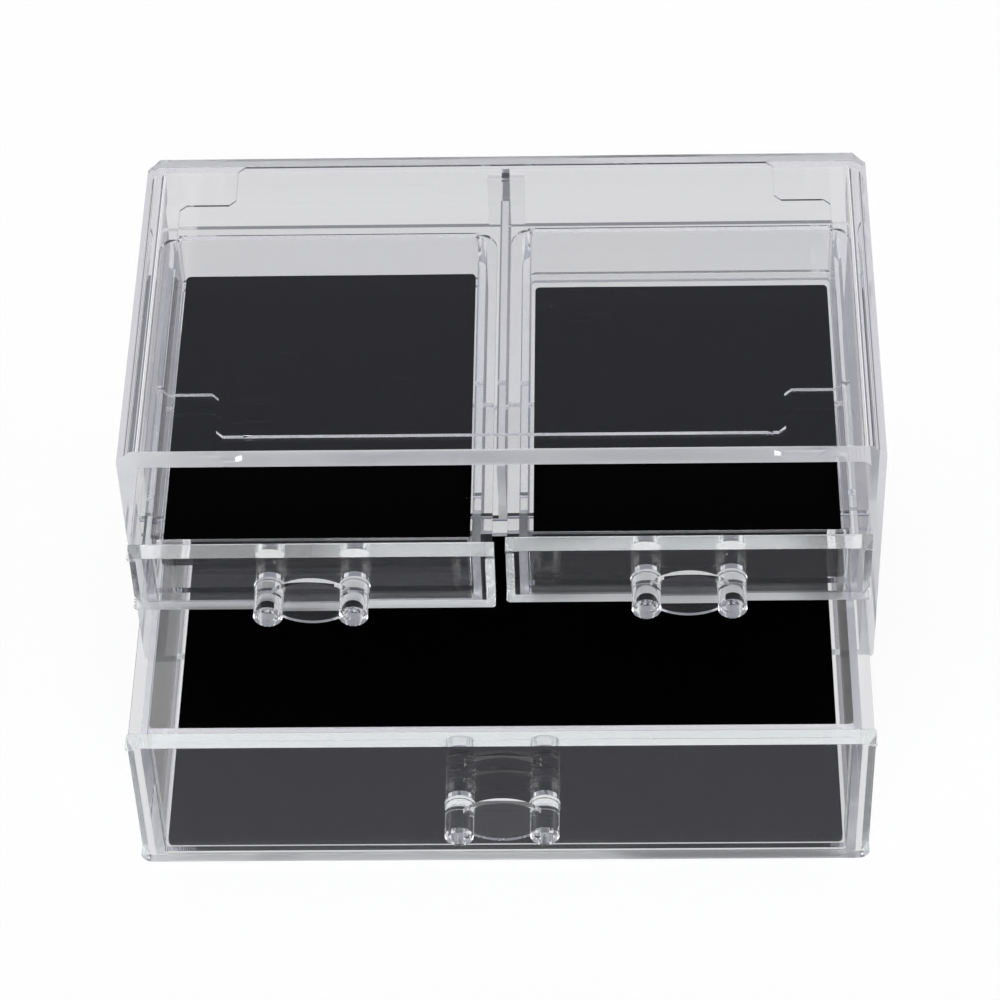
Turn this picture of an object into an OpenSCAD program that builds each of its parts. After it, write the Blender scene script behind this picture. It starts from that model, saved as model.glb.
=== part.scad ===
// Clear moulded drawer unit for a dressing table: two small drawers side by
// side over one wide drawer. All three stand pulled out, the wide one furthest.
// Millimetres. The origin is the middle of the case's footprint, on the table.
// +X is the viewer's right, -Y is the front and +Z is up.

/* [Case] */
// Width across the side walls
case_w = 240; // [200:1:300]
// Depth from the front edge to the back
case_d = 134; // [115:1:180]
// Thickness of the side walls
wall_t = 4.7; // [2:0.1:6]
// Thickness of the back
back_t = 2.8; // [2:0.1:5]
// Thickness of the bottom panel
bottom_t = 2.8; // [2:0.1:4]
// Thickness of the top panel outside its platform
top_t = 7.1; // [3:0.1:10]
// Clear height of the wide drawer's bay at the front
lower_bay_h = 58; // [40:0.5:80]
// Clear height of the small drawers' bays
upper_bay_h = 25; // [20:0.2:45]
// Leg of the bevel along the two top edges
edge_bevel = 4.7; // [2:0.1:8]
// Radius of the two bottom edges
bottom_edge_r = 2; // [1:0.1:4]
// Radius of the upper corners of the inside
opening_r = 3; // [1:0.1:3.4]

/* [Raised platform on the top] */
// Height of the platform
platform_rise = 1.3; // [0.3:0.1:3]
// Distance from the side of the case to the platform
platform_side = 13; // [8:0.5:30]
// Distance from the front and back edges to the platform
platform_end = 5.5; // [3:0.5:15]
// Side of the square left low in each corner
notch_w = 18.3; // [8:0.1:30]
// Cut across each corner of the platform
platform_cut = 2.2; // [0.5:0.1:4]

/* [Shelf and divider] */
// Thickness of the shelf
shelf_t = 2.8; // [2:0.1:4]
// Height of the beam along the front of the shelf
shelf_beam_h = 8.3; // [5:0.1:14]
// Depth of the beam along the front of the shelf
shelf_beam_d = 2.8; // [2:0.1:4]
// Thickness of the divider
divider_t = 2.6; // [2:0.1:5]
// Width of the foot that holds the divider to the back
foot_w = 12.2; // [6:0.1:20]
// Thickness of that foot
foot_t = 1.2; // [0.8:0.1:3]
// Distance from the top of the foot to the ceiling
foot_drop = 2.9; // [0.5:0.1:6]

/* [Bonded joints] */
// Thickness of the cement between two mouldings that are bonded together
bond_t = 0.05; // [0.03:0.01:0.15]

/* [Drawer fronts] */
// Thickness of a front
front_t = 5.8; // [4.5:0.1:8]
// Width of the bevel on each end of a front
end_bevel_w = 2.7; // [1:0.1:5]
// Depth of the bevel on each end of a front
end_bevel_d = 4.4; // [1:0.1:4.4]
// Height of the square edge left above each bevel
bevel_stop = 1.2; // [0.8:0.1:3]
// Radius of the two bottom corners of a small front
upper_corner_r = 1.2; // [0.5:0.1:4]
// Radius of the two bottom corners of the wide front
lower_corner_r = 3.7; // [0.5:0.1:4]
// How far a shut drawer's front stands out of the case
front_stand = 9; // [6:0.1:12]
// Gap between a front and the case's side wall
side_gap = 1.2; // [1:0.1:5]
// Gap between a small front and the divider
divider_gap = 0.4; // [0.3:0.1:2]
// Gap above a front
head_gap = 0.6; // [0.4:0.1:2]
// Gap below a front
sill_gap = 0.6; // [0.4:0.1:2]

/* [Drawer tubs] */
// Thickness of a tub's side walls
tub_wall = 2.6; // [2:0.1:3.2]
// Thickness of a tub's back wall
tub_back_wall = 2.2; // [1.5:0.1:4]
// Thickness of the tub wall that carries the front
tub_front_wall = 2; // [1.5:0.1:4]
// Thickness of a tub's floor
tub_floor = 2.4; // [1.5:0.1:4]
// Height of the small tubs' floors above their lower edges
upper_floor_rise = 3.6; // [1:0.1:6]
// Height of the wide tub's floor above its lower edge
lower_floor_rise = 0.8; // [0.5:0.1:6]
// How far a front reaches past the tub at each end
front_overlap = 4.2; // [3:0.1:8]
// Distance from the end of a front to the edge of the rim
rim_inset = 0.6; // [0.2:0.1:2]
// Thickness of the rim along the sides of a tub
rim_t = 2.4; // [1.5:0.1:4]
// Radius of the rim's back corners
rim_corner_r = 7; // [5:0.1:12]
// Radius of a tub's back corners
tub_corner_r = 4; // [3.5:0.1:8]
// Gap under a tub
run_gap = 0.3; // [0.2:0.1:1]
// Gap between a shut drawer and the divider's foot at the back
back_gap = 0.4; // [0.3:0.1:3]

/* [Handles] */
// Diameter of a handle's posts
post_d = 9; // [6:0.1:12]
// Distance between the two posts
post_spacing = 26.2; // [20:0.1:40]
// How far the posts stand out of the front
post_len = 13.5; // [10.5:0.1:20]
// How far the collar at the foot of a post stands out round it
collar_w = 0.35; // [0.2:0.05:2]
// Thickness of that collar
collar_t = 1.2; // [0.6:0.1:3]
// Depth of a post's end inside the front
post_sink = 3.8; // [2:0.1:4]
// Bevel round the outer end of a post
post_bevel = 1.1; // [0.3:0.1:2]
// Height of the grip plate half way between the posts
grip_h = 18.8; // [14:0.1:20]
// Rise of the grip plate's curved edge, each way
grip_bulge = 2.4; // [1:0.1:4]
// Thickness of the grip plate
grip_t = 1.9; // [1.2:0.1:3]
// Distance from the front to the middle of the grip plate
grip_out = 6; // [4.5:0.1:9]
// How far the small drawers' handles sit below the middle of their fronts
upper_handle_drop = 1.3; // [0:0.1:1.5]
// How far the wide drawer's handle sits below the middle of its front
lower_handle_drop = 0; // [0:0.1:8]

/* [Pads] */
// Thickness of a pad
pad_t = 2.2; // [0.8:0.1:3]
// Gap between a pad and each side of its tub
pad_side_gap = 1.4; // [0.5:0.1:5]
// How much shorter a small pad is than its tub
upper_pad_short = 9.5; // [3:0.5:20]
// How much shorter the wide pad is than its tub
lower_pad_short = 3; // [1:0.5:20]
// Gap between a pad and the wall that it has slid up to
pad_end_gap = 0.4; // [0.2:0.1:1]
// Radius of a pad's corners
pad_corner_r = 1.5; // [0.5:0.1:4]

/* [How far the drawers are pulled out] */
// Pull of the left small drawer
left_pull = 28.5; // [0:0.1:95]
// Pull of the right small drawer
right_pull = 26.5; // [0:0.1:95]
// Pull of the wide drawer
lower_pull = 76; // [0:0.1:95]

/* [Hidden] */
ROUND = 48;
SPARE = 1;

front_y = -case_d / 2;
back_y = case_d / 2;
inner_w = case_w - 2 * wall_t;
lower_bay_top = bottom_t + lower_bay_h;
shelf_top = lower_bay_top + shelf_beam_h;
ceiling = shelf_top + upper_bay_h;
case_h = ceiling + top_t;

bay_w = (inner_w - divider_t) / 2;
upper_front_w = bay_w - divider_gap - side_gap;
lower_front_w = inner_w - 2 * side_gap;
upper_front_h = upper_bay_h - head_gap - sill_gap;
lower_front_h = lower_bay_h - head_gap - sill_gap;
upper_x = divider_t / 2 + divider_gap + upper_front_w / 2;
shelf_back_y = back_y - back_t - bond_t;
foot_y = shelf_back_y - foot_t;
tub_len = foot_y - back_gap - front_y + front_stand - front_t - bond_t;
tub_cavity_len = tub_len - tub_front_wall - tub_back_wall;
grip_gap = post_spacing - post_d;
grip_r = grip_bulge / 2 + pow(grip_gap / 2, 2) / (2 * grip_bulge);

clear_plastic = [0.84, 0.87, 0.93, 0.4];
handle_plastic = [0.75, 0.8, 0.9, 0.6];
black_felt = [0.05, 0.05, 0.06];

// Pushes an outline in X and Z backwards to y_back, over the depth d
module along_y(y_back, d) {
    translate([0, y_back, 0]) rotate([90, 0, 0]) linear_extrude(d) children();
}

// A rectangle from y = 0 to y = l with two round back corners
module round_back(w, l, r) {
    translate([-w / 2, 0]) square([w, l - r]);
    translate([-w / 2 + r, 0]) square([w - 2 * r, l]);
    for (side = [-1, 1])
        translate([side * (w / 2 - r), l - r]) circle(r, $fn = ROUND);
}

// A rectangle from y = 0 to y = l with four round corners
module round_plan(w, l, r) {
    translate([-w / 2, r]) square([w, l - 2 * r]);
    translate([-w / 2 + r, 0]) square([w - 2 * r, l]);
    for (side = [-1, 1], y = [r, l - r])
        translate([side * (w / 2 - r), y]) circle(r, $fn = ROUND);
}

// An upright outline, standing on z = 0, with round corners at its foot
module round_foot(w, h, r) {
    translate([-w / 2, r]) square([w, h - r]);
    translate([-w / 2 + r, 0]) square([w - 2 * r, r + SPARE]);
    for (side = [-1, 1])
        translate([side * (w / 2 - r), r]) circle(r, $fn = ROUND);
}

// The same outline upside down, with its round corners at the height h
module round_head(w, h, r) {
    translate([0, h]) mirror([0, 1]) round_foot(w, h, r);
}

// A rectangle on z = 0 whose two upper corners are cut at 45 degrees
module bevelled_head(w, h, bevel) {
    polygon([
        [-w / 2, 0], [w / 2, 0], [w / 2, h - bevel], [w / 2 - bevel, h],
        [-w / 2 + bevel, h], [-w / 2, h - bevel]
    ]);
}

// The platform seen from above: a cross with cut corners
module platform_plan() {
    half_w = case_w / 2 - platform_side;
    half_d = case_d / 2 - platform_end;
    notch_x = half_w - notch_w;
    notch_y = half_d - notch_w;
    quarter = [
        [half_w, notch_y - platform_cut], [half_w - platform_cut, notch_y],
        [notch_x + platform_cut, notch_y], [notch_x, notch_y + platform_cut],
        [notch_x, half_d - platform_cut], [notch_x - platform_cut, half_d]
    ];
    last = len(quarter) - 1;
    polygon([
        for (p = quarter) p,
        for (i = [last:-1:0]) [-quarter[i].x, quarter[i].y],
        for (p = quarter) [-p.x, -p.y],
        for (i = [last:-1:0]) [quarter[i].x, -quarter[i].y]
    ]);
}

module case_shell() {
    color(clear_plastic) difference() {
        union() {
            along_y(back_y, case_d) intersection() {
                bevelled_head(case_w, case_h, edge_bevel);
                round_foot(case_w, case_h, bottom_edge_r);
            }
            translate([0, 0, ceiling + top_t / 2])
                linear_extrude(top_t / 2 + platform_rise) platform_plan();
        }
        along_y(back_y - back_t, case_d - back_t + SPARE)
            translate([0, bottom_t])
                round_head(inner_w, ceiling - bottom_t, opening_r);
    }
}

module mid_shelf() {
    shelf_w = inner_w - 2 * bond_t;
    color(clear_plastic) {
        translate([-shelf_w / 2, front_y, shelf_top - shelf_t])
            cube([shelf_w, shelf_back_y - front_y, shelf_t]);
        translate([-shelf_w / 2, front_y, lower_bay_top])
            cube([shelf_w, shelf_beam_d, shelf_beam_h]);
    }
}

module centre_divider() {
    divider_h = upper_bay_h - 2 * bond_t;
    color(clear_plastic) translate([0, 0, shelf_top + bond_t]) {
        translate([-divider_t / 2, front_y, 0])
            cube([divider_t, shelf_back_y - front_y, divider_h]);
        translate([-foot_w / 2, foot_y, 0])
            cube([foot_w, foot_t, divider_h - foot_drop]);
    }
}

// A tub with its front wall at y = 0 and its lower edge on z = 0
module tub(w, h, rise) {
    plan_w = w - 2 * front_overlap;
    rim_w = w - 2 * rim_inset;
    cavity_r = tub_corner_r - tub_wall;
    cavity_w = plan_w - 2 * tub_wall;
    color(clear_plastic) difference() {
        union() {
            linear_extrude(h) round_back(plan_w, tub_len, tub_corner_r);
            translate([0, 0, h - rim_t])
                linear_extrude(rim_t) round_back(rim_w, tub_len, rim_corner_r);
        }
        translate([0, tub_front_wall, rise + tub_floor])
            linear_extrude(h) round_plan(cavity_w, tub_cavity_len, cavity_r);
        translate([0, tub_front_wall, -SPARE])
            linear_extrude(rise + SPARE) round_plan(cavity_w, tub_cavity_len, cavity_r);
    }
}

// A front with its back face at y = 0, its foot on z = 0 and its handle's
// sockets drop below its middle. The bevel on each end starts where the round
// corner at its foot is over, and stops short of the top.
module front(w, h, corner_r, drop) {
    color(clear_plastic) difference() {
        along_y(0, front_t) round_foot(w, h, corner_r);
        for (side = [0, 1])
            mirror([side, 0, 0]) translate([-w / 2, -front_t, corner_r])
                linear_extrude(h - corner_r - bevel_stop) polygon([
                    [0, end_bevel_d], [end_bevel_w, 0], [end_bevel_w, -SPARE],
                    [-SPARE, -SPARE], [-SPARE, end_bevel_d]
                ]);
        for (side = [-1, 1])
            translate([side * post_spacing / 2, post_sink - front_t, h / 2 - drop])
                rotate([90, 0, 0])
                    cylinder(h = post_sink + SPARE, d = post_d + 2 * bond_t, $fn = ROUND);
    }
}

// A handle for a front whose outer face is at y = 0. Its middle is at z = 0.
module handle() {
    root = post_sink - bond_t;
    straight = root + post_len - post_bevel;
    color(handle_plastic) {
        for (side = [-1, 1])
            translate([side * post_spacing / 2, root, 0]) rotate([90, 0, 0]) {
                cylinder(h = straight, d = post_d, $fn = ROUND);
                translate([0, 0, post_sink])
                    cylinder(h = collar_t, d = post_d + 2 * collar_w, $fn = ROUND);
                translate([0, 0, straight])
                    cylinder(h = post_bevel, d1 = post_d, d2 = post_d - 2 * post_bevel,
                             $fn = ROUND);
            }
        along_y(grip_t / 2 - grip_out, grip_t) intersection_for(side = [-1, 1])
            translate([0, side * (grip_r - grip_h / 2)]) circle(grip_r, $fn = 2 * ROUND);
    }
}

// A pad that lies on z = 0, with its front edge at y = 0
module pad(w, l) {
    color(black_felt)
        linear_extrude(pad_t) round_plan(w, l, pad_corner_r);
}

// Places for the pieces of one drawer: x is its middle, sill the height of
// what it runs on and pull how far it stands open
module at_front(x, sill, pull) {
    translate([x, front_y - front_stand - pull + front_t, sill + sill_gap]) children();
}

module at_tub(x, sill, pull) {
    translate([x, front_y - front_stand - pull + front_t + bond_t, sill + run_gap])
        children();
}

module at_handle(x, sill, pull, h, drop) {
    translate([x, front_y - front_stand - pull, sill + sill_gap + h / 2 - drop]) children();
}

// slid is 0 for a pad up against the tub's front wall and 1 for its back wall
module at_pad(x, sill, pull, rise, short, slid) {
    end_play = short - 2 * pad_end_gap;
    at_tub(x, sill, pull)
        translate([0, tub_front_wall + pad_end_gap + slid * end_play, rise + tub_floor])
            children();
}

upper_tub_h = upper_front_h + sill_gap - run_gap;
lower_tub_h = lower_front_h + sill_gap - run_gap;
upper_pad_w = upper_front_w - 2 * (front_overlap + tub_wall + pad_side_gap);
lower_pad_w = lower_front_w - 2 * (front_overlap + tub_wall + pad_side_gap);
upper_pad_l = tub_cavity_len - upper_pad_short;
lower_pad_l = tub_cavity_len - lower_pad_short;

module left_drawer_tub() {
    at_tub(-upper_x, shelf_top, left_pull)
        tub(upper_front_w, upper_tub_h, upper_floor_rise);
}

module left_drawer_front() {
    at_front(-upper_x, shelf_top, left_pull)
        front(upper_front_w, upper_front_h, upper_corner_r, upper_handle_drop);
}

module left_drawer_handle() {
    at_handle(-upper_x, shelf_top, left_pull, upper_front_h, upper_handle_drop) handle();
}

module left_drawer_pad() {
    at_pad(-upper_x, shelf_top, left_pull, upper_floor_rise, upper_pad_short, 1)
        pad(upper_pad_w, upper_pad_l);
}

module right_drawer_tub() {
    at_tub(upper_x, shelf_top, right_pull)
        tub(upper_front_w, upper_tub_h, upper_floor_rise);
}

module right_drawer_front() {
    at_front(upper_x, shelf_top, right_pull)
        front(upper_front_w, upper_front_h, upper_corner_r, upper_handle_drop);
}

module right_drawer_handle() {
    at_handle(upper_x, shelf_top, right_pull, upper_front_h, upper_handle_drop) handle();
}

module right_drawer_pad() {
    at_pad(upper_x, shelf_top, right_pull, upper_floor_rise, upper_pad_short, 0)
        pad(upper_pad_w, upper_pad_l);
}

module lower_drawer_tub() {
    at_tub(0, bottom_t, lower_pull) tub(lower_front_w, lower_tub_h, lower_floor_rise);
}

module lower_drawer_front() {
    at_front(0, bottom_t, lower_pull)
        front(lower_front_w, lower_front_h, lower_corner_r, lower_handle_drop);
}

module lower_drawer_handle() {
    at_handle(0, bottom_t, lower_pull, lower_front_h, lower_handle_drop) handle();
}

module lower_drawer_pad() {
    at_pad(0, bottom_t, lower_pull, lower_floor_rise, lower_pad_short, 0)
        pad(lower_pad_w, lower_pad_l);
}

case_shell();
mid_shelf();
centre_divider();
left_drawer_tub();
left_drawer_front();
left_drawer_handle();
left_drawer_pad();
right_drawer_tub();
right_drawer_front();
right_drawer_handle();
right_drawer_pad();
lower_drawer_tub();
lower_drawer_front();
lower_drawer_handle();
lower_drawer_pad();
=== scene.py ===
# %% [markdown]
# # A clear drawer unit for a dressing table
#
# The real thing is moulded from clear, colourless plastic: a case, two small
# drawers over one wide drawer, and a black pad in each drawer. The shapes of all
# the hard pieces come from the CAD frame, which is loaded here and never moved.
# What this script adds is what CAD can't say: how the plastic bends light, the
# soft pads, a white studio, and the camera.

import math

import bmesh
import bpy
from mathutils import Matrix, Vector, noise


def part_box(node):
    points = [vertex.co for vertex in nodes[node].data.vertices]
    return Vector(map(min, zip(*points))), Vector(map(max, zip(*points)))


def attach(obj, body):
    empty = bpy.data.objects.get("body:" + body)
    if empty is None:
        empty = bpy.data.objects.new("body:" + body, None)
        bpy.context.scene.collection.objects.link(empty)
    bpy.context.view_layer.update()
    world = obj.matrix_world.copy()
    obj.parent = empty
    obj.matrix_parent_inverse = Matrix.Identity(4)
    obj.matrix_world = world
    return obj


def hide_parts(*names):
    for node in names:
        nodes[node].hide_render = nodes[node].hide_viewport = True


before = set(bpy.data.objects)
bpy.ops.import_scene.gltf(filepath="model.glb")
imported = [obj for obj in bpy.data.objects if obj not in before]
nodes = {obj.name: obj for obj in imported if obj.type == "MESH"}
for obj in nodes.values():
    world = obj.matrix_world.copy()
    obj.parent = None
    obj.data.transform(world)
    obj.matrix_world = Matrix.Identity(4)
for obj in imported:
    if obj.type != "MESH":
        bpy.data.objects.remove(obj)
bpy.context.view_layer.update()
scene = bpy.context.scene
MM = 0.001
ACROSS, DEEP, UP = 0, 1, 2
WHITE = (1.0, 1.0, 1.0, 1.0)
DRAWERS = ("left_drawer", "right_drawer", "lower_drawer")
print("CAD nodes:", len(nodes))

# %% [markdown]
# ## Shader maths as plain Python
#
# A material with a pattern needs many small Math nodes. Placing them by hand
# hides the idea, so a small class wraps a node's output socket, and + - and * on
# it add the Math nodes. Every other node comes from one method, `node`.


# %% A socket that can be added and multiplied
class Wire:
    def __init__(self, tree, socket):
        self.tree = tree
        self.socket = socket

    def node(self, kind, settings=None, out=0, **inputs):
        """A new node of that kind, with its settings first and then its inputs."""
        made = self.tree.nodes.new(kind)
        for key, value in (settings or {}).items():
            if key == "ramp":
                stops = made.color_ramp.elements
                while len(stops) > 1:
                    stops.remove(stops[-1])
                stops[0].position, stops[0].color = value[0]
                for place, colour in value[1:]:
                    stops.new(place).color = colour
            else:
                setattr(made, key, value)
        for key, value in inputs.items():
            by_number = key[0] == "i" and key[1:].isdigit()
            name = int(key[1:]) if by_number else key.replace("_", " ")
            if isinstance(value, Wire):
                self.tree.links.new(value.socket, made.inputs[name])
            else:
                made.inputs[name].default_value = value
        return Wire(self.tree, made.outputs[out])

    def maths(self, operation, first, second):
        return self.node("ShaderNodeMath", {"operation": operation}, i0=first, i1=second)

    def __add__(self, other):
        return self.maths("ADD", self, other)

    def __radd__(self, other):
        return self.maths("ADD", other, self)

    def __sub__(self, other):
        return self.maths("SUBTRACT", self, other)

    def __rsub__(self, other):
        return self.maths("SUBTRACT", other, self)

    def __mul__(self, other):
        return self.maths("MULTIPLY", self, other)

    def __rmul__(self, other):
        return self.maths("MULTIPLY", other, self)


def new_material(name):
    """An empty node material, and a wire to start its nodes from."""
    material = bpy.data.materials.new(name)
    material.use_nodes = True
    tree = material.node_tree
    tree.nodes.clear()
    return material, Wire(tree, None)


def finish_material(start, surface, volume=None):
    output = start.tree.nodes.new("ShaderNodeOutputMaterial")
    start.tree.links.new(surface.socket, output.inputs["Surface"])
    if volume:
        start.tree.links.new(volume.socket, output.inputs["Volume"])


def object_place(start):
    """Where a point lies on the object, in metres in the shared frame."""
    return start.node("ShaderNodeTexCoord", out=3)


def smooth_step(wire, low, high):
    """0 below low and 1 above high, with a soft change between."""
    return wire.node("ShaderNodeMapRange", {"interpolation_type": "SMOOTHSTEP"},
                     Value=wire, From_Min=low, From_Max=high, To_Min=0.0, To_Max=1.0)


def past(start, place, limit):
    """1 past a limit and 0 before it. A limit is an axis and two places along it."""
    axis, begin, full = limit
    along = start.node("ShaderNodeSeparateXYZ", Vector=place, out=axis)
    return smooth_step(along, begin, full)


print("shader helpers ready")

# %% [markdown]
# ## Clear moulded plastic
#
# Polystyrene and acrylic bend light with an index near 1.5. They take away so
# little of it that a thin wall looks colourless, but light that runs a long way
# inside, from edge to edge of a panel, comes out pale lilac grey. So the colour
# belongs to the depth of the plastic, as an absorption, and not to its surface.
# Long shallow waves in the surface and a few hair-fine scratches make it look
# moulded and used rather than computed. A thick piece also sinks here and there
# as it cools, so the top face of each drawer's front has deeper, closer waves.
#
# The edges are less polished than the faces, because the tool's parting line and
# the cutter meet there. They scatter some light and look milky. So near those
# faces, found by their place on the piece, the glass is mixed with a satin white,
# less of it in the patches that came out of the tool well polished.
#
# A render can't follow a lamp's light through bent glass cheaply, so rays that
# only ask whether a lamp is visible meet a plain see-through surface instead. Its
# grey tint is what gives the clear walls their soft shadow.

# %% The clear plastic
# A SCALE is about how many bumps of noise lie in a metre. FROM and FULL are the
# levels of the noise between which an effect comes in.
CLEAR_INDEX = 1.49
COOL_PATCH = (0.992, 0.994, 1.0, 1.0)
WARM_PATCH = (1.0, 0.998, 0.992, 1.0)
WAVE_SCALE, WAVE_MM = 14.0, 0.012
SINK_SCALE, SINK_MM = 26.0, 0.35

# Hairs run along X, because the noise is squeezed along Y. The turn comes after
# that, so it doesn't turn the hairs, but takes another slice of the noise.
HAIR_TURN = 0.6
HAIR_SCALE = (60.0, 900.0, 60.0)
HAIR_FROM, HAIR_FULL = 0.72, 0.80
HAIR_PATCH_SCALE, HAIR_PATCH_FROM, HAIR_PATCH_FULL = 23.0, 0.55, 0.7

MILK_COLOUR = (0.93, 0.94, 0.95, 1.0)
MILK_ROUGHNESS = 0.25
POLISH_SCALE, POLISH_FROM, POLISH_FULL = 17.0, 0.48, 0.66
POLISH_TAKES = 0.55


def moulded_height(start, place, waves, sunk):
    """The surface's height in millimetres: waves all over, and sink marks past one limit."""
    height = waves * WAVE_MM
    if sunk:
        sinks = start.node("ShaderNodeTexNoise", Vector=place, Scale=SINK_SCALE, Detail=0.0)
        height = height + past(start, place, sunk) * sinks * SINK_MM
    return height


def hair_scratches(start, place, roughest):
    """The roughness of fine hairs, stretched noise that shows in some patches only."""
    stretched = start.node("ShaderNodeMapping", Vector=place,
                           Rotation=(0.0, 0.0, HAIR_TURN), Scale=HAIR_SCALE)
    hairs = start.node("ShaderNodeTexNoise", Vector=stretched, Scale=1.0, Detail=0.0)
    patch = start.node("ShaderNodeTexNoise", Vector=place, Scale=HAIR_PATCH_SCALE, Detail=0.0)
    shows = smooth_step(patch, HAIR_PATCH_FROM, HAIR_PATCH_FULL)
    return smooth_step(hairs, HAIR_FROM, HAIR_FULL) * shows * roughest


def edge_milk(start, place, edges):
    """How milky the surface is: each edge has its milk and the limits that it lies past."""
    milky = None
    for milk, limits in edges:
        for limit in limits:
            milk = past(start, place, limit) * milk
        milky = milk if milky is None else start.maths("MAXIMUM", milky, milk)
    polish = start.node("ShaderNodeTexNoise", Vector=place, Scale=POLISH_SCALE, Detail=1.0)
    return milky * (1 - smooth_step(polish, POLISH_FROM, POLISH_FULL) * POLISH_TAKES)


def clear_plastic(name, tint, density, shadow, scratches=0.0, edges=(), sunk=None):
    material, start = new_material(name)
    place = object_place(start)
    waves = start.node("ShaderNodeTexNoise", Vector=place, Scale=WAVE_SCALE, Detail=0.0)
    roughness = hair_scratches(start, place, scratches) if scratches else 0.0
    bump = start.node("ShaderNodeBump", Height=moulded_height(start, place, waves, sunk),
                      Strength=1.0, Distance=MM)
    colour = start.node("ShaderNodeMix", {"data_type": "RGBA"}, out=2,
                        i0=waves, i6=COOL_PATCH, i7=WARM_PATCH)
    glass = start.node("ShaderNodeBsdfPrincipled", Base_Color=colour, Roughness=roughness,
                       Normal=bump, IOR=CLEAR_INDEX, Transmission_Weight=1.0)
    if edges:
        frost = start.node("ShaderNodeBsdfPrincipled", Base_Color=MILK_COLOUR,
                           Roughness=MILK_ROUGHNESS, Normal=bump, IOR=CLEAR_INDEX)
        glass = start.node("ShaderNodeMixShader", i0=edge_milk(start, place, edges),
                           i1=glass, i2=frost)
    for_lamps = start.node("ShaderNodeBsdfTransparent", Color=shadow)
    asks_a_lamp = start.node("ShaderNodeLightPath", out=1)
    surface = start.node("ShaderNodeMixShader", i0=asks_a_lamp, i1=glass, i2=for_lamps)
    inside = start.node("ShaderNodeVolumeAbsorption", Color=tint, Density=density)
    finish_material(start, surface, inside)
    return material


print("clear plastic bends light with an index of", CLEAR_INDEX)

# %% [markdown]
# ## Which edges are milky
#
# Most milky edges are a flat face, so a limit along one axis finds them: the
# shader asks whether a point lies within a hair of the piece's highest or lowest
# place. A bevelled end begins where the front's flat face stops, and the back of
# the case is milky on its thick top only. How milky each one is was chosen one by one.
# The front edge of the divider is the milkiest, and the top of a front the clearest.

# %% The milky edges
FRONT_BEVEL = 2.7 * MM
NEAR_FACE = 0.2 * MM
ON_FACE = 0.1 * MM
TOP_MILK, FOOT_MILK, END_MILK = 0.02, 0.58, 0.10
MOUTH_MILK, BACK_MILK, DIVIDER_MILK = 0.65, 0.75, 1.0
WALL_MILK = {"left_drawer": 0.2, "right_drawer": 0.2, "lower_drawer": 0.7}


def upper_face(node, axis):
    """The limit that holds only on the node's face with the highest place along the axis."""
    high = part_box(node)[1][axis]
    return (axis, high - NEAR_FACE, high - ON_FACE)


def lower_face(node, axis):
    """The limit that holds only on the node's face with the lowest place along the axis."""
    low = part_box(node)[0][axis]
    return (axis, low + NEAR_FACE, low + ON_FACE)


def front_edges(node):
    """The top, the foot and the two bevelled ends of a drawer's front."""
    low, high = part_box(node)
    right, left = high.x - FRONT_BEVEL, low.x + FRONT_BEVEL
    return [(TOP_MILK, [upper_face(node, UP)]),
            (FOOT_MILK, [lower_face(node, UP)]),
            (END_MILK, [(ACROSS, right, right + ON_FACE)]),
            (END_MILK, [(ACROSS, left, left - ON_FACE)])]


def case_edges():
    """The mouth of the case, and the back face of its thick top."""
    top_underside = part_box("centre_divider")[1].z
    in_the_top = (UP, top_underside, top_underside + ON_FACE)
    return [(MOUTH_MILK, [lower_face("case_shell", DEEP)]),
            (BACK_MILK, [upper_face("case_shell", DEEP), in_the_top])]


print("the case has", len(case_edges()), "milky edges, and each front",
      len(front_edges("lower_drawer_front")))

# %% [markdown]
# ## Plastic on every hard piece
# The real pieces may well be one and the same plastic, but in the photograph the
# fronts look a little green and the rest a little lilac, and some pieces more so
# than others. So each kind of piece has its own tint, how dense the tint is per
# metre of plastic, and the tint of its shadow, all chosen one by one.

# %% Dress the nodes
LILAC = (0.70, 0.69, 0.78, 1.0)
GREEN_GREY = (0.80, 0.84, 0.83, 1.0)
CASE_SCRATCHES = 0.12
CASE = {"tint": LILAC, "density": 4.0, "shadow": (0.98, 0.98, 0.985, 1.0)}
SHELF = {"tint": LILAC, "density": 8.0, "shadow": (0.97, 0.97, 0.975, 1.0)}
TUB = {"tint": LILAC, "density": 8.0, "shadow": (0.97, 0.97, 0.97, 1.0)}
FRONT = {"tint": GREEN_GREY, "density": 10.0, "shadow": (0.96, 0.965, 0.965, 1.0)}
HANDLE = {"tint": LILAC, "density": 4.0, "shadow": (0.96, 0.96, 0.965, 1.0)}

divider_edges = [(DIVIDER_MILK, [lower_face("centre_divider", DEEP)])]
clear_finishes = {
    "case_shell": clear_plastic("clear case", **CASE, scratches=CASE_SCRATCHES,
                                edges=case_edges()),
    "mid_shelf": clear_plastic("clear shelf", **SHELF),
    "centre_divider": clear_plastic("clear divider", **SHELF, edges=divider_edges),
}
handle_finish = clear_plastic("clear handle", **HANDLE)
for drawer in DRAWERS:
    tub, front, handle = drawer + "_tub", drawer + "_front", drawer + "_handle"
    wall_edges = [(WALL_MILK[drawer], [lower_face(tub, UP)])]
    clear_finishes[tub] = clear_plastic("clear " + tub, **TUB, edges=wall_edges)
    clear_finishes[front] = clear_plastic("clear " + front, **FRONT, edges=front_edges(front),
                                          sunk=upper_face(front, UP))
    clear_finishes[handle] = handle_finish

for node_name, finish in clear_finishes.items():
    slots = nodes[node_name].data.materials
    slots.clear()
    slots.append(finish)
print("clear plastic on", len(clear_finishes), "nodes")

# %% [markdown]
# ## Black felt
#
# The pads are covered in black flock. It is as black as velvet, so it has no shine
# at all. Its pile is a very fine noise that tints the colour and lifts the surface,
# and here and there it holds a speck of lint: the middle of a Voronoi cell, in the
# brightest patches of a second noise only.

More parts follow.
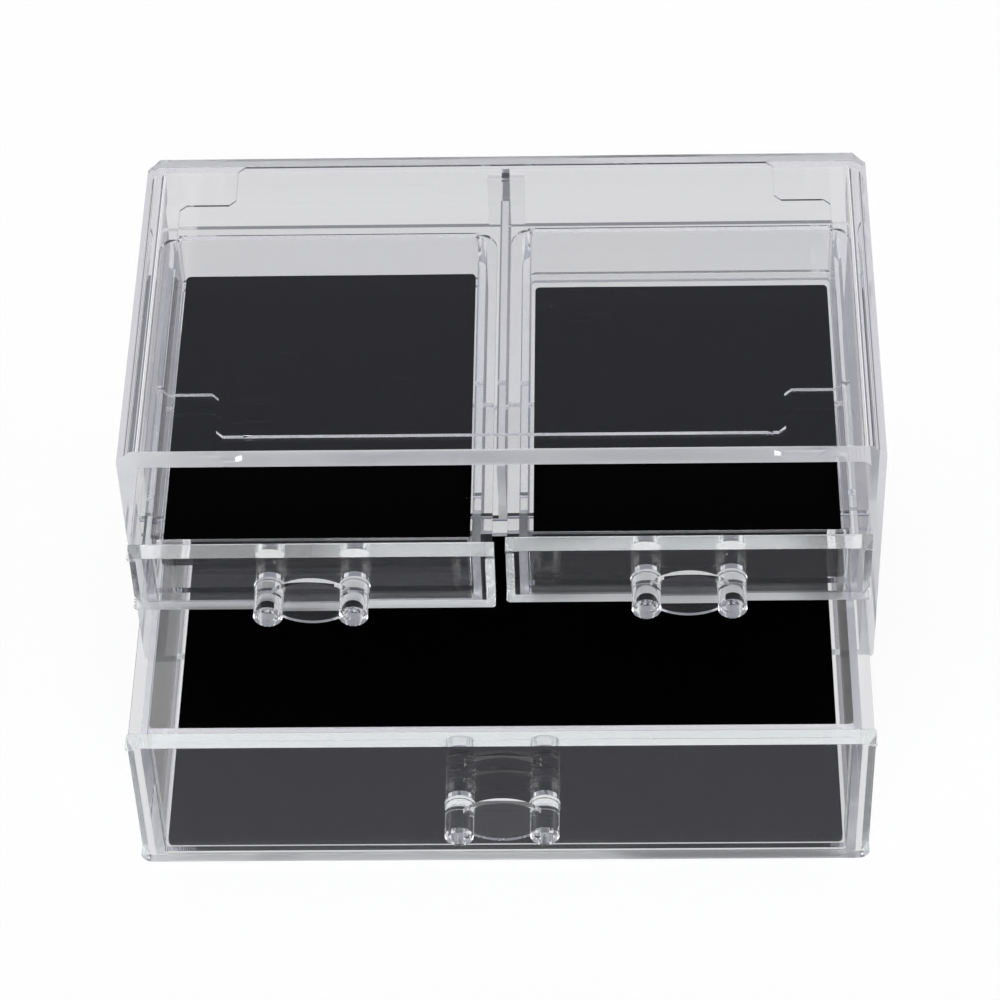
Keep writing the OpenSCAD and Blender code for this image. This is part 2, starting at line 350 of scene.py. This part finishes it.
# %% The felt
FELT_DARK = (0.0004, 0.0004, 0.0005, 1.0)
FELT_PALE = (0.0016, 0.0016, 0.0018, 1.0)
FELT_ROUGHNESS = 0.95
PILE_SCALE, PILE_DETAIL, PILE_ROUGHNESS = 2600.0, 2.0, 0.7
PILE_STRENGTH, PILE_HEIGHT = 0.5, 0.15 * MM
LINT_COLOUR, LINT_SHARE = (0.22, 0.22, 0.23, 1.0), 0.35
LINT_SCALE, LINT_RADIUS, LINT_EDGE = 95.0, 0.035, 0.06
LINT_PATCH_SCALE, LINT_PATCH_FROM, LINT_PATCH_FULL = 60.0, 0.62, 0.68


def black_felt():
    material, start = new_material("black felt")
    place = object_place(start)
    pile = start.node("ShaderNodeTexNoise", Vector=place, Scale=PILE_SCALE,
                      Detail=PILE_DETAIL, Roughness=PILE_ROUGHNESS)
    lint = start.node("ShaderNodeTexVoronoi", Vector=place, Scale=LINT_SCALE, Randomness=1.0)
    patch = start.node("ShaderNodeTexNoise", Vector=place, Scale=LINT_PATCH_SCALE, Detail=1.0)
    shows = smooth_step(patch, LINT_PATCH_FROM, LINT_PATCH_FULL)
    specks = (1 - smooth_step(lint, LINT_RADIUS, LINT_EDGE)) * shows
    fibre = start.node("ShaderNodeMix", {"data_type": "RGBA"}, out=2,
                       i0=pile, i6=FELT_DARK, i7=FELT_PALE)
    colour = start.node("ShaderNodeMix", {"data_type": "RGBA"}, out=2,
                        i0=specks * LINT_SHARE, i6=fibre, i7=LINT_COLOUR)
    bump = start.node("ShaderNodeBump", Height=pile, Strength=PILE_STRENGTH,
                      Distance=PILE_HEIGHT)
    felt = start.node("ShaderNodeBsdfPrincipled", Base_Color=colour, Normal=bump,
                      Roughness=FELT_ROUGHNESS, Specular_IOR_Level=0.0)
    finish_material(start, felt)
    return material


felt_finish = black_felt()
print("felt ready")

# %% [markdown]
# ## The pads
#
# Each drawer has a loose pad, flock on a thin foam backing. It is cut with a
# knife, so its edges are square but a little soft, and it lies not quite flat. A
# box with round corners is cut into many small faces, its top rim is bevelled, and
# smooth noise pushes its top gently down. Its underside stays flat, a hair above
# the drawer's floor so that no two faces lie in one place, and the whole pad stays
# within the CAD solid that it stands for.

# %% The shape of a pad
PAD_CLEAR = 0.06 * MM
PAD_CORNER, CORNER_STEPS = 1.5 * MM, 4
PAD_RIM, RIM_STEPS = 0.3 * MM, 2
PAD_FACES_APART = 3.5 * MM
PAD_SAG = 0.35 * MM
SAGS_PER_METRE = 22
SAME_HEIGHT = 1e-5
SOFT_FOLD = math.radians(50)


def bevelled(shape, edges, offset, steps):
    bmesh.ops.bevel(shape, geom=edges, offset=offset, segments=steps, profile=0.5,
                    affect="EDGES", material=-1)


def cut_across(shape, low, size, axis):
    """Cut the pad into strips along one axis."""
    cuts = int(size[axis] / PAD_FACES_APART)
    normal = Vector((1, 0, 0) if axis == ACROSS else (0, 1, 0))
    for k in range(1, cuts):
        plane = low.copy()
        plane[axis] += size[axis] * k / cuts
        geometry = shape.verts[:] + shape.edges[:] + shape.faces[:]
        bmesh.ops.bisect_plane(shape, geom=geometry, plane_co=plane, plane_no=normal)


def pad_shape(low, high):
    """A block with round upright corners, many small faces and a soft top rim."""
    size = high - low
    shape = bmesh.new()
    bmesh.ops.create_cube(shape, size=1.0)
    bmesh.ops.scale(shape, vec=(size.x, size.y, size.z - PAD_CLEAR), verts=shape.verts)
    middle = (low + high) / 2 + Vector((0, 0, PAD_CLEAR / 2))
    bmesh.ops.translate(shape, vec=middle, verts=shape.verts)
    upright = [e for e in shape.edges
               if abs(e.verts[0].co.z - e.verts[1].co.z) > size.z / 2]
    bevelled(shape, upright, PAD_CORNER, CORNER_STEPS)
    for axis in (ACROSS, DEEP):
        cut_across(shape, low, size, axis)
    rim = [e for e in shape.edges
           if all(abs(v.co.z - high.z) < SAME_HEIGHT for v in e.verts)
           and any(abs(f.normal.z) < 0.5 for f in e.link_faces)]
    bevelled(shape, rim, PAD_RIM, RIM_STEPS)
    return shape


def sag_unevenly(shape, top, seed):
    """Push the top and its rim down by smooth noise, between nothing and the full sag."""
    for v in shape.verts:
        if v.co.z > top - PAD_RIM * 1.5:
            place = Vector((v.co.x * SAGS_PER_METRE, v.co.y * SAGS_PER_METRE, seed))
            v.co.z -= PAD_SAG * (0.5 + 0.5 * noise.noise(place))


print("a pad has a face about every", round(PAD_FACES_APART / MM, 1), "mm")


# %% The pad in each drawer
SEED_STEP = 7.3


def pad(drawer, seed):
    low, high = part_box(drawer + "_pad")
    shape = pad_shape(low, high)
    sag_unevenly(shape, high.z, seed)
    bmesh.ops.recalc_face_normals(shape, faces=shape.faces)
    mesh = bpy.data.meshes.new(drawer + "_felt_pad")
    shape.to_mesh(mesh)
    shape.free()
    mesh.materials.append(felt_finish)
    mesh.shade_smooth()
    mesh.set_sharp_from_angle(angle=SOFT_FOLD)
    piece = bpy.data.objects.new(drawer + "_felt_pad", mesh)
    scene.collection.objects.link(piece)
    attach(piece, drawer)
    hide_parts(drawer + "_pad")


for number, drawer in enumerate(DRAWERS):
    pad(drawer, number * SEED_STEP)

# %% [markdown]
# ## A white studio
#
# Clear plastic shows only what is round it. A camera that looks at it on pure
# white sees white through every flat wall. What draws the edges is the rest of
# the room: where a wall's edge turns a ray upwards or sideways, it should find
# something darker than the backdrop. So the sky is white near the ground and grey
# overhead, and only rays straight from the camera see it all white.

# %% The sky
SKY_GREYS = [
    (0.0, WHITE), (0.35, WHITE),
    (0.50, (0.29, 0.295, 0.34, 1.0)),
    (0.85, (0.24, 0.245, 0.28, 1.0)),
    (1.0, (0.50, 0.50, 0.52, 1.0))]


def studio_sky():
    world = bpy.data.worlds.new("studio")
    scene.world = world
    world.use_nodes = True
    tree = world.node_tree
    tree.nodes.clear()
    start = Wire(tree, None)
    way = start.node("ShaderNodeTexCoord", out=0)
    height = start.node("ShaderNodeSeparateXYZ", Vector=way, out=UP)
    grey = start.node("ShaderNodeValToRGB", {"ramp": SKY_GREYS}, i0=height)
    seen = start.node("ShaderNodeBackground", Color=grey, Strength=1.0)
    white = start.node("ShaderNodeBackground", Color=WHITE, Strength=1.0)
    camera_ray = start.node("ShaderNodeLightPath", out=0)
    shader = start.node("ShaderNodeMixShader", i0=camera_ray, i1=seen, i2=white)
    output = tree.nodes.new("ShaderNodeOutputWorld")
    tree.links.new(shader.socket, output.inputs["Surface"])


studio_sky()
print("the sky has", len(SKY_GREYS), "stops from the ground up")

# %% [markdown]
# ## The floor
#
# The floor is seen in three ways. Looked at directly it is white paper with a
# faint shadow. Seen through the plastic it is a little greyer, and mirrored once in
# a face it is dim, because in a real studio that mirrored ray would pass the paper
# and find the dark room.

# %% The floor
FLOOR_SIZE = 6.0
PAPER_COLOUR = (0.86, 0.86, 0.86, 1.0)
THROUGH_PLASTIC = (0.80, 0.80, 0.81, 1.0)
MIRRORED_ONCE = (0.26, 0.26, 0.29, 1.0)
BACKDROP_SHARE = 0.88


def floor_paper():
    material, start = new_material("white paper")
    paper = start.node("ShaderNodeBsdfDiffuse", Color=PAPER_COLOUR)
    glow = start.node("ShaderNodeEmission", Color=WHITE, Strength=1.0)
    through = start.node("ShaderNodeEmission", Color=THROUGH_PLASTIC, Strength=1.0)
    dim = start.node("ShaderNodeEmission", Color=MIRRORED_ONCE, Strength=1.0)
    light_path = start.node("ShaderNodeLightPath").socket.node

    def ray(name):
        return Wire(start.tree, light_path.outputs[name])

    once = start.node("ShaderNodeMath", {"operation": "COMPARE"},
                      i0=ray("Glossy Depth"), i1=1.0, i2=0.5)
    clear_ray = start.maths("MAXIMUM", ray("Is Glossy Ray"), ray("Is Transmission Ray"))
    by_plastic = start.node("ShaderNodeMixShader", i0=once, i1=through, i2=dim)
    by_camera = start.node("ShaderNodeMixShader", i0=BACKDROP_SHARE, i1=paper, i2=glow)
    by_others = start.node("ShaderNodeMixShader", i0=clear_ray, i1=paper, i2=by_plastic)
    finish_material(start, start.node("ShaderNodeMixShader", i0=ray("Is Camera Ray"),
                                      i1=by_others, i2=by_camera))
    return material


def white_floor():
    shape = bmesh.new()
    bmesh.ops.create_grid(shape, x_segments=1, y_segments=1, size=FLOOR_SIZE)
    mesh = bpy.data.meshes.new("white floor")
    shape.to_mesh(mesh)
    shape.free()
    mesh.materials.append(floor_paper())
    floor = bpy.data.objects.new("white_floor", mesh)
    scene.collection.objects.link(floor)
    edge = max(v.co.x for v in mesh.vertices)
    print("the floor reaches", round(edge, 2), "m from the middle")


white_floor()

# %% [markdown]
# ## The lamps
#
# Large soft lamps stand above, a little to the back, and at both sides. A small
# one high in front puts glints on the round handle posts, where no flat face turns
# its light to the camera. Light turns many times inside a clear piece before it
# leaves, so the limits on its turns are raised.

# %% The lamps
MIDDLE = Vector((0.0, -0.04, 0.05))
LAMPS = {
    "top panel": {"at": (0.0, 0.25, 1.35), "size": (1.3, 0.7), "watts": 9.0},
    "left panel": {"at": (-1.3, -0.25, 0.7), "size": (0.7, 0.9), "watts": 6.0},
    "right panel": {"at": (1.3, -0.25, 0.7), "size": (0.7, 0.9), "watts": 6.0},
    "front panel": {"at": (-0.325, -0.75, 1.45), "size": (0.25, 0.15), "watts": 0.9},
}


def soft_lamp(name, at, size, watts):
    """A rectangular lamp that looks at the middle of the object."""
    data = bpy.data.lights.new(name, "AREA")
    data.shape = "RECTANGLE"
    data.size, data.size_y = size
    data.energy = watts
    lamp = bpy.data.objects.new(name, data)
    scene.collection.objects.link(lamp)
    back = (Vector(at) - MIDDLE).normalized()
    turn = back.to_track_quat("Z", "Y").to_matrix().to_4x4()
    lamp.matrix_world = Matrix.Translation(at) @ turn


for name, lamp in LAMPS.items():
    soft_lamp(name, **lamp)
scene.view_settings.view_transform = "Standard"
scene.cycles.max_bounces = 36
scene.cycles.glossy_bounces = 30
scene.cycles.transmission_bounces = 30
scene.cycles.transparent_max_bounces = 20
print("lamps:", ", ".join(LAMPS))

# %% [markdown]
# ## The camera
#
# The photograph was taken from well above, almost square on, with a long lens
# from about 1.2 m. The numbers come from fitting a camera to the case's corners,
# so the render can be laid over the photograph.

# %% Camera
TURN = math.radians(2.40)
LIFT = math.radians(47.55)
ROLL = math.radians(-2.24)
LOOK_AT = Vector((-1.54, -46.15, 55.0)) * MM
FAR = 1233.8 * MM
SENSOR = 36.0
FOCAL_PIXELS = 3825.0
PHOTO_PIXELS = 1000.0


def photo_camera():
    data = bpy.data.cameras.new("photo camera")
    data.sensor_width = SENSOR
    data.lens = SENSOR * FOCAL_PIXELS / PHOTO_PIXELS
    camera = bpy.data.objects.new("photo_camera", data)
    scene.collection.objects.link(camera)
    back = Vector((math.sin(TURN) * math.cos(LIFT), -math.cos(TURN) * math.cos(LIFT),
                   math.sin(LIFT)))
    right = Vector((math.cos(TURN), math.sin(TURN), 0.0))
    up = back.cross(right)
    rolled_right = math.cos(ROLL) * right + math.sin(ROLL) * up
    rolled_up = -math.sin(ROLL) * right + math.cos(ROLL) * up
    turn = Matrix((rolled_right, rolled_up, back)).transposed().to_4x4()
    camera.matrix_world = Matrix.Translation(LOOK_AT + back * FAR) @ turn
    scene.camera = camera
    print("the lens is", round(data.lens, 1), "mm")


photo_camera()
